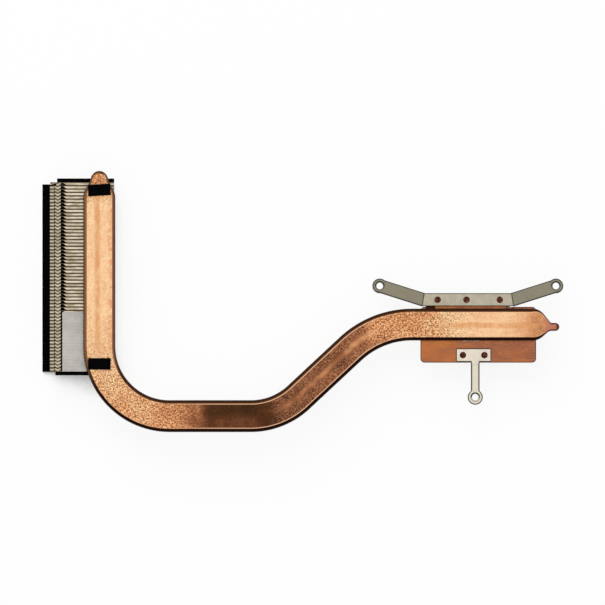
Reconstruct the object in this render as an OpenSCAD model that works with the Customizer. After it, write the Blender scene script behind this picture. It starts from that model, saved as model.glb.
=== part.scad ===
// Laptop heatsink: a flattened copper heat pipe joins a copper cold plate to a zipped fin stack.
// The origin is the middle of the cold plate's underside, which presses on the processor.
// X runs along the plate, Y across it, and Z points away from the processor.

/* [Cold plate] */
// Length of the plate
plate_l = 39.8; // [32:0.1:50]
// Width of the plate, without its tab
plate_w = 19.2; // [17:0.1:26]
// Thickness of the plate
plate_t = 1.2; // [0.8:0.1:2.5]
// Radius of the plate's corners
plate_corner_r = 1.4; // [0.5:0.1:2.5]
// How far the tab stops short of the long bracket's outer edge
tab_setback = 0.5; // [0.2:0.1:1]
// How far the tab stops short of each bend of the long bracket
tab_end_setback = 0.9; // [0.4:0.1:1.5]
// How far the reliefs at the roots of the tab reach into the plate
relief_d = 0.8; // [0.4:0.1:1.2]
// Length of the sunk relief on the fin side
relief_long_l = 3; // [1:0.1:4]
// Depth of the sunk relief
relief_sink = 0.8; // [0.3:0.1:1]
// Length of the relief notch on the far side
relief_short_l = 1; // [0.5:0.1:2]

/* [Heat pipe] */
// Width of the flattened pipe
pipe_w = 11; // [9:0.1:12.5]
// Thickness of the flattened pipe
pipe_t = 2.8; // [2.6:0.1:3.6]
// Wall of the copper tube
pipe_wall = 0.3; // [0.2:0.05:0.4]
// Thickness of the sintered wick inside the tube
wick_t = 0.5; // [0.3:0.05:0.6]
// Gap between the tube's wall and the wick
wick_gap = 0.02; // [0.01:0.01:0.05]
// Distance from the plate's edge at the tab to the pipe
pipe_edge_inset = 0.6; // [0.3:0.1:1.2]
// Distance from the plate's middle to the run over the fins
fin_run_x = 130.4; // [120:0.1:150]
// Distance from the run over the plate down to the low run
low_run_drop = 31.5; // [28:0.1:36]
// Distance from the plate's middle to the corner above the slanted run
slant_corner_x = 35; // [33:0.1:45]
// Slope of the slanted run
slant_angle = 43; // [38:0.5:48]
// Bend radius at both ends of the low run, on the pipe's centreline
low_bend_r = 24.1; // [20:0.1:26]
// Bend radius between the slanted run and the plate, on the pipe's centreline
plate_bend_r = 31; // [26:0.1:34]
// Length of the tapered end over the fins
dome_taper_l = 8.9; // [7:0.1:11]
// Half width of the neck below the dome over the fins
dome_neck_r = 3.1; // [2.4:0.1:4]
// Length of the tapered end past the plate
stub_taper_l = 6.2; // [5:0.1:8]
// Length of the sealed fill stub
stub_l = 3; // [2.5:0.1:6]
// Radius of the fill stub
stub_r = 1.4; // [1.1:0.05:1.4]
// How far the stub lies off the pipe's centreline
stub_shift = 0.8; // [0:0.1:1.2]
// How far inside the plate's edge the far taper starts
stub_taper_inset = 1.1; // [0:0.1:2]

/* [Fin stack] */
// Number of folded fins, without the closing plate
fin_count = 56; // [40:1:60]
// Distance from one fin to the next
fin_pitch = 1.16; // [1.1:0.01:1.3]
// Length of a fin along the air flow
fin_l = 22; // [20:0.1:26]
// Height of a fin
fin_h = 7.5; // [6:0.1:10]
// Thickness of the fin sheet
fin_sheet_t = 0.2; // [0.15:0.01:0.25]
// Gap between a fin's folded edge and the next fin
fin_gap = 0.05; // [0.03:0.01:0.1]
// Outer radius of a fin's folds
fin_fold_r = 0.4; // [0.26:0.01:0.45]
// How far the stack reaches past the start of the pipe's domed taper
stack_past_taper = 4.9; // [4:0.1:6]
// How far the pipe overhangs the stack's inlet edge
inlet_overhang = 0.5; // [0.1:0.1:1]
// Position of the stack's upper end above the plate's middle
stack_top_y = 52.5; // [50:0.1:56]
// Distance from a fin's edge to its zip slot
zip_slot_x = 1.4; // [1.1:0.05:1.6]
// Width of the zip slot
zip_slot_w = 0.25; // [0.2:0.05:0.35]
// Width of the arrow tab
zip_tab_w = 2; // [1.6:0.1:2.4]
// How far the arrow's tip passes the next fin's face
zip_tip = 0.3; // [0.25:0.01:0.4]
// How far the arrow's shoulders stay back from the folded edge
zip_shoulder = 0.25; // [0.2:0.01:0.4]
// Width of the open groove beside the arrow tab
zip_groove_w = 0.9; // [0.7:0.05:1.4]
// Width of the slanted corner beside the groove
zip_corner_w = 1.3; // [0.8:0.05:1.6]
// Length of the bent corner of the first fin
bent_corner_l = 2.2; // [1.5:0.1:3]

/* [Brackets] */
// Thickness of the spring steel
bracket_t = 0.6; // [0.5:0.05:0.8]
// Width of the long bracket's middle strip
strip_w = 4.5; // [4:0.1:5.5]
// Gap between the plate's edge at the tab and the strip
strip_gap = 0.2; // [0.05:0.05:0.4]
// Distance between the two bends where the arms leave the strip
strip_l = 30.7; // [28:0.1:34]
// How far the strip's middle lies towards the fins
strip_shift = 3.6; // [2:0.1:5]
// Length of an arm, from its bend to its screw hole
arm_l = 15.7; // [13:0.1:20]
// Width of an arm
arm_w = 4.7; // [4:0.1:5]
// Plan angle between an arm and the strip
arm_angle = 17.6; // [10:0.1:25]
// How far each arm and the tee's stem step down to their screw hole
ear_drop = 1.2; // [0.8:0.1:1.5]
// Length of an arm's slope
arm_slope_l = 10; // [8:0.1:11]
// Radius of an arm's round end
ear_r = 2.55; // [2.4:0.05:3]
// Radius of the screw holes
screw_hole_r = 1.15; // [1:0.05:1.3]
// Radius of the screw holes' sinks at the top
screw_sink_r = 1.5; // [1.4:0.05:1.6]
// Depth of the screw holes' sinks
screw_sink_d = 0.3; // [0.2:0.05:0.4]
// Length of the tee's head
tee_head_l = 12.1; // [11:0.1:14]
// Width of the tee's head
tee_head_w = 4.6; // [4:0.1:5]
// Radius of the tee's corners
tee_corner_r = 0.4; // [0.2:0.05:0.8]
// Distance from the plate's lower edge to the tee's head
tee_inset = 0.3; // [0.1:0.05:0.6]
// How far the tee's stem lies towards the fins
tee_stem_x = 1.05; // [0:0.05:3]
// How far the head's middle lies from the stem, towards the fins
tee_head_shift = 0.55; // [0:0.05:1]
// Width of the tee's stem
tee_stem_w = 3; // [2.5:0.1:3.6]
// Distance from the head's middle to the tee's screw hole
tee_reach = 14.5; // [12:0.05:18]
// Radius of the tee's ring
tee_ring_r = 2.6; // [2.4:0.05:3]
// Length of the tee's steep step
tee_step_l = 0.6; // [0.5:0.05:1.2]
// Gap between the plate's edge and the tee's step
tee_step_gap = 0.03; // [0.02:0.01:0.2]

/* [Rivets] */
// Radius of a rivet's shank
rivet_r = 0.9; // [0.7:0.05:1]
// Radius of a rivet's flared head and foot
rivet_head_r = 1.15; // [1.05:0.01:1.25]
// Height of the flare at a rivet's foot
rivet_foot_h = 0.3; // [0.2:0.05:0.4]
// Clearance round a rivet
rivet_gap = 0.02; // [0.01:0.01:0.04]
// How far a rivet's ends lie below the faces round them
rivet_recess = 0.05; // [0.02:0.01:0.1]
// Depth of the dimple in a rivet's head
rivet_dimple = 0.3; // [0.15:0.05:0.35]
// Width of the dimple's mouth and of its floor, as shares of the head
dimple_mouth = 0.82; // [0.7:0.01:0.9]
dimple_floor = 0.3; // [0.2:0.01:0.5]
// Distance from the strip's middle to the rivet nearest the fins
rivet_near_x = 10.4; // [8:0.1:12]
// Distance from the strip's middle to its middle rivet
rivet_mid_x = 0.45; // [-2:0.05:2]
// Distance from the strip's middle to the far rivet
rivet_far_x = 11; // [8:0.1:12]
// Distance between the tee's rivets
tee_rivet_pitch = 7.4; // [6:0.1:8.4]

/* [Foam, solder and label] */
// Thickness of the solder under the pipe
solder_t = 0.1; // [0.05:0.01:0.2]
// How far the bead of squeezed-out solder shows past the pipe's lower side
solder_bead = 0.25; // [0.1:0.05:0.5]
// Length of that bead
bead_l = 5.9; // [3:0.1:10]
// Distance from the plate's middle to the bead's far end
bead_end_x = 0.6; // [0:0.1:3]
// Gap between a stuck-on piece and the face that carries it
stick_gap = 0.02; // [0.01:0.01:0.05]
// Width of the outlet foam strip
outlet_foam_w = 5; // [4:0.1:6]
// How far the outlet foam stands out from the fins
outlet_foam_out = 2.75; // [2:0.05:3.5]
// Thickness of the outlet foam strip
outlet_foam_t = 1.5; // [1:0.1:3]
// How far the outlet foam stops short of the stack's upper end
outlet_foam_setback = 0.7; // [0.3:0.1:1.2]
// How far the outlet foam reaches past the stack's lower end
outlet_foam_past = 0.2; // [0:0.1:0.6]
// Thickness of the end foams
end_foam_t = 1.3; // [0.8:0.1:2]
// How far the upper end foam stops short of the fins' outlet edge
upper_foam_setback = 2.4; // [1.5:0.1:4]
// How far the lower end foam stops short of the fins' outlet edge
lower_foam_setback = 1.8; // [1.5:0.1:4]
// How far the end foams stop short of the fins' height
end_foam_inset = 0.4; // [0.2:0.1:1]
// Length of the foam pads on the pipe
pad_l = 7.8; // [6.5:0.1:8.5]
// Width of the foam pads on the pipe
pad_w = 4; // [3:0.05:4.5]
// Thickness of the foam pads on the pipe
pad_t = 0.8; // [0.4:0.1:1.5]
// Turn of the upper pad
upper_pad_turn = 3; // [0:0.5:4]
// Distance from the stack's upper end to the middle of the upper pad
upper_pad_y = 2.7; // [2.6:0.1:4]
// Distance from the stack's lower end to the middle of the lower pad
lower_pad_y = 2.65; // [2.3:0.05:4]
// Length of the label
label_l = 20.5; // [16:0.1:30]
// Thickness of the label
label_t = 0.1; // [0.05:0.01:0.2]
// Distance from the fins' outlet edge to the label
label_x = 4.25; // [3.5:0.05:6]
// Gap between the label and the pipe
label_gap = 0.15; // [0.05:0.05:0.5]

/* [Hidden] */
$fn = 48;
copper = [0.86, 0.60, 0.44];
plate_copper = [0.72, 0.45, 0.31];
rivet_copper = [0.45, 0.22, 0.17];
steel = [0.66, 0.65, 0.60];
bright_steel = [0.84, 0.82, 0.77];
aluminium = [0.80, 0.78, 0.72];
foam_black = [0.05, 0.05, 0.06];
label_grey = [0.72, 0.73, 0.72];
solder_grey = [0.58, 0.58, 0.56];

// Overlap that makes two joined shapes one solid
weld = 0.2;
// How far a cutting shape reaches past a face, and the same for small ones
past = 1;
nudge = 0.1;
// Least half width of a form that closes to a tip
skin = 0.01;
// Angle between stations round a bend, and round a closed tip
bend_step = 5;
tip_step = 22.5;
// Stations along each tapered end
end_steps = 7;
// Facets round half of a pipe's rounded side, outside and inside
pipe_sides = 10;
bore_sides = 6;

// Heights of the stack of layers
fin_top_z = plate_t;
pipe_low_z = plate_t + solder_t;
pipe_mid_z = pipe_low_z + pipe_t / 2;
pipe_top_z = pipe_low_z + pipe_t;
flat_w = pipe_w - pipe_t;

// Where the domed end reaches its neck, and the share of its length at which the dome starts
neck_x = 0.73 * dome_taper_l;
dome_share = 0.62;
// How long the far taper's shoulders stay wide, and how late the stub turns off the centreline
shoulder_power = 1.6;
shift_power = 4;

// Centreline of the pipe: the corners of its straight runs, before they are rounded
pipe_y = plate_w / 2 - pipe_edge_inset - pipe_w / 2;
low_y = pipe_y - low_run_drop;
slant_foot_x = -slant_corner_x - low_run_drop / tan(slant_angle);
dome_taper_y = stack_top_y - stack_past_taper;
stub_taper_x = plate_l / 2 - stub_taper_inset;
dome_start = [-fin_run_x, dome_taper_y];
low_corner = [-fin_run_x, low_y];
slant_foot = [slant_foot_x, low_y];
slant_top = [-slant_corner_x, pipe_y];
stub_start = [stub_taper_x, pipe_y];
low_trim = low_bend_r * tan(slant_angle / 2);
high_trim = plate_bend_r * tan(slant_angle / 2);

// Place of the fin stack
inlet_x = -fin_run_x + pipe_w / 2 - inlet_overhang;
outlet_x = inlet_x - fin_l;
stack_low_y = stack_top_y - fin_count * fin_pitch - fin_sheet_t;
fold_reach = fin_pitch - fin_gap;
fin_low_z = fin_top_z - fin_h;

// Length of the plate's tab
tab_l = strip_l - 2 * tab_end_setback;

// Places of the brackets and their rivets
bracket_top_z = plate_t + bracket_t;
strip_y = plate_w / 2 + strip_gap + strip_w / 2;
tee_y = -plate_w / 2 + tee_inset + tee_head_w / 2;
tee_head_x = -tee_stem_x - tee_head_shift;
rivet_xs = [-rivet_near_x, -rivet_mid_x, rivet_far_x];
tee_rivet_xs = [-tee_rivet_pitch / 2, tee_rivet_pitch / 2];

// Outline of a rectangle round the origin with round corners
module rounded_rectangle(length, width, r) {
  square([length - 2 * r, width], center = true);
  square([length, width - 2 * r], center = true);
  for (x = [-1, 1], y = [-1, 1])
    translate([x * (length / 2 - r), y * (width / 2 - r)])
      circle(r);
}

// A station of the pipe: place in the plan, heading, half width and half thickness
function station(x, y, heading, half_w, half_t) = [x, y, heading, half_w, half_t];

// Smooth step from 0 to 1
function ease(t) = 0.5 - 0.5 * cos(180 * min(max(t, 0), 1));

// Half thickness of a form that is rounded off at its far end
function rounded_off(half, reach, s) =
  s < reach - half ? half : sqrt(max(half ^ 2 - (s - reach + half) ^ 2, 0));

// Steps over the last stretch of a rounded end, closer towards the tip
function tip_steps(reach, half) =
  [for (a = [tip_step:tip_step:90 - tip_step / 2]) reach - half + half * sin(a)];

// Half width of the domed end at a distance from its root
function dome_half_w(s) =
  let(dome_from = dome_taper_l * dome_share, past_neck = max(s - dome_from, 0) / (dome_taper_l - dome_from))
  (pipe_w / 2 - (pipe_w / 2 - dome_neck_r) * ease(s / neck_x)) * sqrt(max(1 - past_neck ^ 2, 0));

// Station of the domed end, which runs up in Y
function dome_station(s) =
  station(-fin_run_x, dome_taper_y + s, 270, dome_half_w(s), rounded_off(pipe_t / 2, dome_taper_l, s));

// Half width of the stub's end at a share of its taper
function stub_half_w(share) =
  let(fall = share ^ shoulder_power)
  pipe_w / 2 - (pipe_w / 2 - stub_r) * (fall + ease(fall)) / 2;

// Station of the stub's end, which runs along X and drifts off the centreline
function stub_station(s) =
  let(half = rounded_off(stub_r, stub_taper_l + stub_l, s), share = min(s / stub_taper_l, 1))
  station(stub_taper_x + s, pipe_y - stub_shift * share ^ shift_power, 0,
    stub_half_w(share) - stub_r + half, half + (pipe_t / 2 - stub_r) * (1 - ease(share)));

// Stations round a bend of the centreline, from one heading to another
function bend_stations(centre, r, from, to) =
  let(turn = to > from ? 1 : -1, steps = ceil(abs(to - from) / bend_step))
  [for (i = [0:steps])
    let(heading = from + (to - from) * i / steps)
    station(centre.x + turn * r * sin(heading), centre.y - turn * r * cos(heading), heading,
      pipe_w / 2, pipe_t / 2)];

// Stations of the whole run between the two tapered ends
run_stations = concat(
  [station(-fin_run_x, dome_taper_y, 270, pipe_w / 2, pipe_t / 2)],
  bend_stations(low_corner + [low_bend_r, low_bend_r], low_bend_r, 270, 360),
  bend_stations(slant_foot + [-low_trim, low_bend_r], low_bend_r, 0, slant_angle),
  bend_stations(slant_top + [high_trim, -plate_bend_r], plate_bend_r, slant_angle, 0),
  [station(stub_taper_x, pipe_y, 0, pipe_w / 2, pipe_t / 2)]
);

// The same run, reaching past both its ends
wick_bore_stations = [for (i = [0:len(run_stations) - 1])
  let(at = run_stations[i], reach = i == 0 ? -past : i == len(run_stations) - 1 ? past : 0)
  station(at.x + reach * cos(at.z), at.y + reach * sin(at.z), at.z, at[3], at[4])];

// Stations up to where the ends' thickness starts to close
dome_steps = [for (i = [end_steps:-1:1]) (dome_taper_l - pipe_t / 2) * i / end_steps];
stub_steps = [for (i = [1:end_steps]) stub_taper_l * i / end_steps];
open_stations = concat(
  [for (s = dome_steps) dome_station(s)],
  run_stations,
  [for (s = stub_steps) stub_station(s)],
  [stub_station(stub_taper_l + stub_l - stub_r)]
);

// Stations of the closed pipe, tips included
dome_tips = tip_steps(dome_taper_l, pipe_t / 2);
closed_stations = concat(
  [for (i = [len(dome_tips) - 1:-1:0]) dome_station(dome_tips[i])],
  open_stations,
  [for (s = tip_steps(stub_taper_l + stub_l, stub_r)) stub_station(s)]
);

// Ring of points round a station: two half circles, shrunk by an inset
function ring(at, inset, sides) =
  let(flat = max(at[3] - at[4], skin), r = max(at[4] - inset, skin))
  [for (side = [1, -1], i = [0:sides])
    let(a = side * (180 * i / sides - 90), across = side * (flat + r * cos(a)))
    [at.x - across * sin(at.z), at.y + across * cos(at.z), r * sin(a)]];

// Solid through a list of stations
module sweep(stations, inset, sides) {
  rings = [for (at = stations) ring(at, inset, sides)];
  count = 2 * sides + 2;
  last = len(stations) - 1;
  polyhedron(
    points = [for (one = rings) each one],
    faces = concat(
      [[for (i = [0:count - 1]) i]],
      [[for (i = [count - 1:-1:0]) last * count + i]],
      [for (k = [0:last - 1], i = [0:count - 1])
        let(next = (i + 1) % count)
        [k * count + i, (k + 1) * count + i, (k + 1) * count + next, k * count + next]]
    )
  );
}

// The sealed copper tube
module heat_pipe() {
  color(copper)
    translate([0, 0, pipe_mid_z])
      difference() {
        sweep(closed_stations, 0, pipe_sides);
        sweep(open_stations, pipe_wall, bore_sides);
      }
}

// The sintered sleeve inside the tube, which stops where the ends taper
module pipe_wick() {
  outer_inset = pipe_wall + wick_gap;
  color(plate_copper)
    translate([0, 0, pipe_mid_z])
      difference() {
        sweep(run_stations, outer_inset, bore_sides);
        sweep(wick_bore_stations, outer_inset + wick_t, bore_sides);
      }
}

// Section of a folded fin: its web faces +Y, and both edges fold towards -Y
module fin_section() {
  reach = fold_reach + zip_tip + fin_gap;
  difference() {
    union() {
      translate([-reach, 0])
        square([reach - fin_fold_r, fin_h]);
      translate([-fin_fold_r - nudge, fin_fold_r])
        square([fin_fold_r + nudge, fin_h - 2 * fin_fold_r]);
      for (z = [fin_fold_r, fin_h - fin_fold_r])
        translate([-fin_fold_r, z])
          circle(fin_fold_r);
    }
    translate([-reach - past, fin_sheet_t])
      square([reach + past - fin_sheet_t, fin_h - 2 * fin_sheet_t]);
  }
}

// Distances of the zip features from the nearer edge of a fin
tab_start_x = zip_slot_x + zip_slot_w;
tab_mid_x = tab_start_x + zip_tab_w / 2;
groove_x = tab_start_x + zip_tab_w;
corner_x = groove_x + zip_groove_w;
full_x = corner_x + zip_corner_w;

// Free edge of a fold across one zip station, from the fin's edge inwards
zip_edge = [
  [zip_slot_x, -fold_reach],
  [zip_slot_x, -fin_sheet_t],
  [tab_start_x, -fin_sheet_t],
  [tab_start_x, -fold_reach + zip_shoulder],
  [tab_mid_x, -fin_pitch - zip_tip],
  [groove_x, -fold_reach + zip_shoulder],
  [groove_x, -fin_sheet_t],
  [corner_x, -fin_sheet_t],
  [full_x, -fold_reach],
];

// What is trimmed off the folds: all past the free edge, with a zip station at each end
module fold_trim() {
  last = len(zip_edge) - 1;
  far_edge = [for (i = [last:-1:0]) [fin_l - zip_edge[i].x, zip_edge[i].y]];
  outside = [
    [fin_l + past, -fold_reach],
    [fin_l + past, -2 * fin_pitch],
    [-past, -2 * fin_pitch],
    [-past, -fold_reach],
  ];
  polygon(concat(zip_edge, far_edge, outside));
}

// Notches that let the tips of the last fin's arrows through this fin's fold
module tip_notches() {
  slope = (fin_pitch + zip_tip - fold_reach + zip_shoulder) / (zip_tab_w / 2);
  depth = zip_tip + fin_gap;
  half = (depth + nudge) / slope;
  for (x = [tab_mid_x, fin_l - tab_mid_x])
    translate([x, 0])
      polygon([[-half, nudge], [0, -depth], [half, nudge]]);
}

// Both edges' notches, cut a little deeper than the sheet
module notch_cuts() {
  deep = fin_sheet_t + fin_gap;
  for (z = [-past, fin_h - deep])
    translate([0, 0, z])
      linear_extrude(deep + past)
        tip_notches();
}

// One folded fin with its outlet edge at the origin
module channel_fin() {
  difference() {
    rotate([90, 0, 90])
      linear_extrude(fin_l)
        fin_section();
    translate([0, 0, -past])
      linear_extrude(fin_h + 2 * past)
        fold_trim();
    notch_cuts();
  }
}

// Place of a fin, counted from the stack's upper end
module at_fin(index) {
  translate([outlet_x, stack_top_y - index * fin_pitch, fin_low_z])
    children();
}

// The inner fins of the stack
module fins() {
  color(aluminium)
    for (index = [1:fin_count - 1])
      at_fin(index)
        channel_fin();
}

// The first fin, whose outlet corner is bent in
module upper_end_fin() {
  bend_in = fold_reach - 2 * fin_sheet_t;
  color(aluminium)
    at_fin(0) {
      difference() {
        channel_fin();
        translate([-past, -2 * fin_pitch, -past])
          cube([bent_corner_l + past, 3 * fin_pitch, fin_h + 2 * past]);
      }
      linear_extrude(fin_h)
        polygon([
          [0, -bend_in], [0, -bend_in - fin_sheet_t], [bent_corner_l + weld, -fin_sheet_t],
          [bent_corner_l + weld, 0], [bent_corner_l, 0],
        ]);
    }
}

// The flat sheet that closes the stack
module lower_end_plate() {
  color(aluminium)
    at_fin(fin_count)
      difference() {
        translate([0, -fin_sheet_t, 0])
          cube([fin_l, fin_sheet_t, fin_h]);
        notch_cuts();
      }
}

// Solder between the pipe's flat and the fins, along the straight run and into the bend
module fin_solder() {
  bend_y = low_y + low_bend_r;
  color(solder_grey)
    translate([0, 0, fin_top_z])
      linear_extrude(solder_t) {
        translate([-fin_run_x - flat_w / 2, bend_y])
          square([flat_w, dome_taper_y - bend_y]);
        intersection() {
          translate(low_corner + [low_bend_r, low_bend_r])
            difference() {
              circle(low_bend_r + flat_w / 2);
              circle(low_bend_r - flat_w / 2);
            }
          translate([outlet_x, stack_low_y])
            square([fin_l, bend_y - stack_low_y]);
        }
      }
}

// Solder between the pipe's flat and the cold plate, with the bead squeezed out on one side
module plate_solder() {
  flat_low_y = pipe_y - flat_w / 2;
  bead_low_y = pipe_y - pipe_w / 2 - solder_bead;
  color(solder_grey)
    translate([0, 0, plate_t])
      linear_extrude(solder_t) {
        translate([-plate_l / 2, flat_low_y])
          square([plate_l / 2 + stub_taper_x, flat_w]);
        translate([bead_end_x - bead_l, bead_low_y])
          square([bead_l, flat_low_y - bead_low_y]);
      }
}

// Outline of the cold plate with its tab and the notch at the tab's far root
module plate_outline() {
  tab_y = plate_w / 2 + strip_gap + strip_w - tab_setback;
  difference() {
    union() {
      rounded_rectangle(plate_l, plate_w, plate_corner_r);
      translate([-strip_shift - tab_l / 2, 0])
        square([tab_l, tab_y]);
    }
    translate([-strip_shift + tab_l / 2 - relief_short_l, plate_w / 2 - relief_d])
      square([relief_short_l + past, relief_d]);
  }
}

// The copper plate that presses on the processor
module cold_plate() {
  color(plate_copper)
    difference() {
      linear_extrude(plate_t)
        plate_outline();
      translate([-strip_shift - tab_l / 2 - nudge, plate_w / 2 - relief_d, plate_t - relief_sink])
        cube([relief_long_l + nudge, relief_d + strip_gap + weld, relief_sink + past]);
      at_strip_rivets()
        rivet_hole();
      at_tee_rivets()
        rivet_hole();
    }
}

// Places of the long bracket's rivets
module at_strip_rivets() {
  for (x = rivet_xs)
    translate([-strip_shift + x, strip_y, 0])
      children();
}

// Places of the tee's rivets
module at_tee_rivets() {
  for (x = tee_rivet_xs)
    translate([tee_head_x + x, tee_y, 0])
      children();
}

// A rivet turned from its half section, widened by a clearance for the hole round it
module rivet_form(gap, low_z, high_z) {
  shank = rivet_r + gap;
  flare = rivet_head_r + gap;
  rotate_extrude()
    polygon([
      [0, low_z], [flare, low_z], [flare, 0], [shank, rivet_foot_h], [shank, plate_t],
      [flare, bracket_top_z], [flare, high_z], [0, high_z],
    ]);
}

// The hole that a rivet fills, through plate and bracket
module rivet_hole() {
  rivet_form(rivet_gap, -past, bracket_top_z + past);
}

// One rivet, with a dimple in its flared head
module rivet() {
  shank_top = bracket_top_z - rivet_recess;
  flare_x = rivet_r + (rivet_head_r - rivet_r) * (shank_top - plate_t) / bracket_t;
  foot_x = rivet_head_r - (rivet_head_r - rivet_r) * rivet_recess / rivet_foot_h;
  rotate_extrude()
    polygon([
      [0, rivet_recess], [foot_x, rivet_recess], [rivet_r, rivet_foot_h], [rivet_r, plate_t],
      [flare_x, shank_top], [dimple_mouth * flare_x, shank_top],
      [dimple_floor * flare_x, shank_top - rivet_dimple], [0, shank_top - rivet_dimple],
    ]);
}

// How far the folds of a step's two faces lie apart
function fold_shift(slope_l) = bracket_t * tan(atan(ear_drop / slope_l) / 2);

// Side view of a strip that steps down from the plate, as a sheet along X
module stepped_side(start, slope_l, length) {
  half_shift = fold_shift(slope_l) / 2;
  polygon([
    [start, plate_t], [-half_shift, plate_t], [slope_l - half_shift, plate_t - ear_drop],
    [length, plate_t - ear_drop], [length, bracket_top_z - ear_drop],
    [slope_l + half_shift, bracket_top_z - ear_drop], [half_shift, bracket_top_z],
    [start, bracket_top_z],
  ]);
}

// The stepped sheet, wide on both sides of X
module stepped_sheet(start, slope_l, length, width) {
  rotate([90, 0, 0])
    linear_extrude(width, center = true)
      stepped_side(start, slope_l, length);
}

// A plan outline as a block through the whole height of the brackets
module bracket_block() {
  translate([0, 0, -past - ear_drop])
    linear_extrude(bracket_top_z + ear_drop + 2 * past)
      children();
}

// Screw hole with a sink at the top of a stepped-down end
module screw_hole() {
  top_z = bracket_top_z - ear_drop;
  translate([0, 0, -past - ear_drop])
    cylinder(h = bracket_top_z + ear_drop + 2 * past, r = screw_hole_r);
  translate([0, 0, top_z - screw_sink_d])
    cylinder(h = screw_sink_d + skin, r1 = screw_hole_r, r2 = screw_sink_r);
}

// A point along an arm and across it, seen from the strip's middle
function arm_point(along, across) =
  [strip_l / 2 + along * cos(arm_angle) - across * sin(arm_angle),
    along * sin(arm_angle) + across * cos(arm_angle)];

// Plan of half the long bracket, from the strip's middle to a screw hole
module half_bracket_plan() {
  mitre_x = (arm_w / 2 - strip_w / 2 * cos(arm_angle)) / sin(arm_angle);
  polygon([
    [0, -strip_w / 2], [strip_l / 2 + mitre_x, -strip_w / 2], arm_point(arm_l, -arm_w / 2),
    arm_point(arm_l, arm_w / 2), [strip_l / 2 - mitre_x, strip_w / 2], [0, strip_w / 2],
  ]);
  translate(arm_point(arm_l, 0))
    circle(ear_r);
}

// Half of the long bracket, whose arm folds down along the mitre at its root
module half_bracket() {
  difference() {
    intersection() {
      translate([strip_l / 2, 0, 0])
        rotate([0, 0, arm_angle / 2])
          stepped_sheet(-strip_l, arm_slope_l, arm_l + ear_r + past, strip_l);
      bracket_block()
        half_bracket_plan();
    }
    translate(arm_point(arm_l, 0))
      screw_hole();
  }
}

// The long bracket: a flat strip on the plate's tab and two sprung arms
module cpu_bracket() {
  color(steel)
    difference() {
      translate([-strip_shift, strip_y, 0])
        for (side = [0, 1])
          mirror([side, 0, 0])
            half_bracket();
      at_strip_rivets()
        rivet_hole();
    }
}

// The short bracket: a head on the plate, and a stem down to a ring
module tee_bracket() {
  step_y = -plate_w / 2 - tee_step_gap - fold_shift(tee_step_l) / 2;
  hole_y = tee_y - tee_reach;
  color(bright_steel)
    difference() {
      union() {
        translate([tee_head_x, tee_y, plate_t])
          linear_extrude(bracket_t)
            rounded_rectangle(tee_head_l, tee_head_w, tee_corner_r);
        translate([-tee_stem_x, 0, 0])
          intersection() {
            translate([0, step_y, 0])
              rotate([0, 0, -90])
                stepped_sheet(step_y - tee_y, tee_step_l, step_y - hole_y + tee_ring_r + past,
                  2 * tee_ring_r + past);
            bracket_block() {
              translate([-tee_stem_w / 2, hole_y])
                square([tee_stem_w, tee_reach]);
              translate([0, hole_y])
                circle(tee_ring_r);
            }
          }
      }
      at_tee_rivets()
        rivet_hole();
      translate([-tee_stem_x, hole_y, 0])
        screw_hole();
    }
}

// The long bracket's rivets
module cpu_bracket_rivets() {
  color(rivet_copper)
    at_strip_rivets()
      rivet();
}

// The tee's rivets
module tee_bracket_rivets() {
  color(rivet_copper)
    at_tee_rivets()
      rivet();
}

// Foam strip under the outlet edge, which seals the stack against the case
module outlet_foam() {
  foam_low_y = stack_low_y - outlet_foam_past;
  color(foam_black)
    translate([outlet_x - outlet_foam_out, foam_low_y, fin_low_z - stick_gap - outlet_foam_t])
      cube([outlet_foam_w, stack_top_y - outlet_foam_setback - foam_low_y, outlet_foam_t]);
}

// Foam on one end face of the stack, from a lower edge upwards in Y
module end_foam(low_y, setback) {
  color(foam_black)
    translate([outlet_x + setback, low_y, fin_low_z + end_foam_inset])
      cube([fin_l - setback, end_foam_t, fin_h - 2 * end_foam_inset]);
}

// Foam on the stack's upper end
module upper_end_foam() {
  end_foam(stack_top_y + stick_gap, upper_foam_setback);
}

// Foam on the stack's lower end
module lower_end_foam() {
  end_foam(stack_low_y - stick_gap - end_foam_t, lower_foam_setback);
}

// Foam pad on the pipe's flat
module pipe_pad(y, turn) {
  color(foam_black)
    translate([-fin_run_x, y, pipe_top_z + stick_gap])
      rotate([0, 0, turn])
        linear_extrude(pad_t)
          square([pad_l, pad_w], center = true);
}

// Pad near the pipe's domed end
module upper_pipe_pad() {
  pipe_pad(stack_top_y - upper_pad_y, upper_pad_turn);
}

// Pad where the pipe leaves the fins
module lower_pipe_pad() {
  pipe_pad(stack_low_y + lower_pad_y, 0);
}

// Label on the fins, whose inner edge follows the pipe
module fin_label() {
  edge = pipe_w / 2 + label_gap;
  color(label_grey)
    translate([0, 0, fin_top_z + stick_gap])
      linear_extrude(label_t)
        difference() {
          translate([outlet_x + label_x, stack_low_y])
            square([-fin_run_x - outlet_x - label_x, label_l]);
          translate([-fin_run_x - edge, low_y + low_bend_r])
            square([2 * edge, dome_taper_y - low_y]);
          translate(low_corner + [low_bend_r, low_bend_r])
            circle(low_bend_r + edge);
        }
}

heat_pipe();
pipe_wick();
fins();
upper_end_fin();
lower_end_plate();
fin_solder();
plate_solder();
cold_plate();
cpu_bracket();
tee_bracket();
cpu_bracket_rivets();
tee_bracket_rivets();
outlet_foam();
upper_end_foam();
lower_end_foam();
upper_pipe_pad();
lower_pipe_pad();
fin_label();
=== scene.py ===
# Laptop heatsink: the finishes and fine forms of its copper, steel, fins, foam and label.
import math

import bmesh
import bpy
from mathutils import Matrix, Vector, noise


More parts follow.
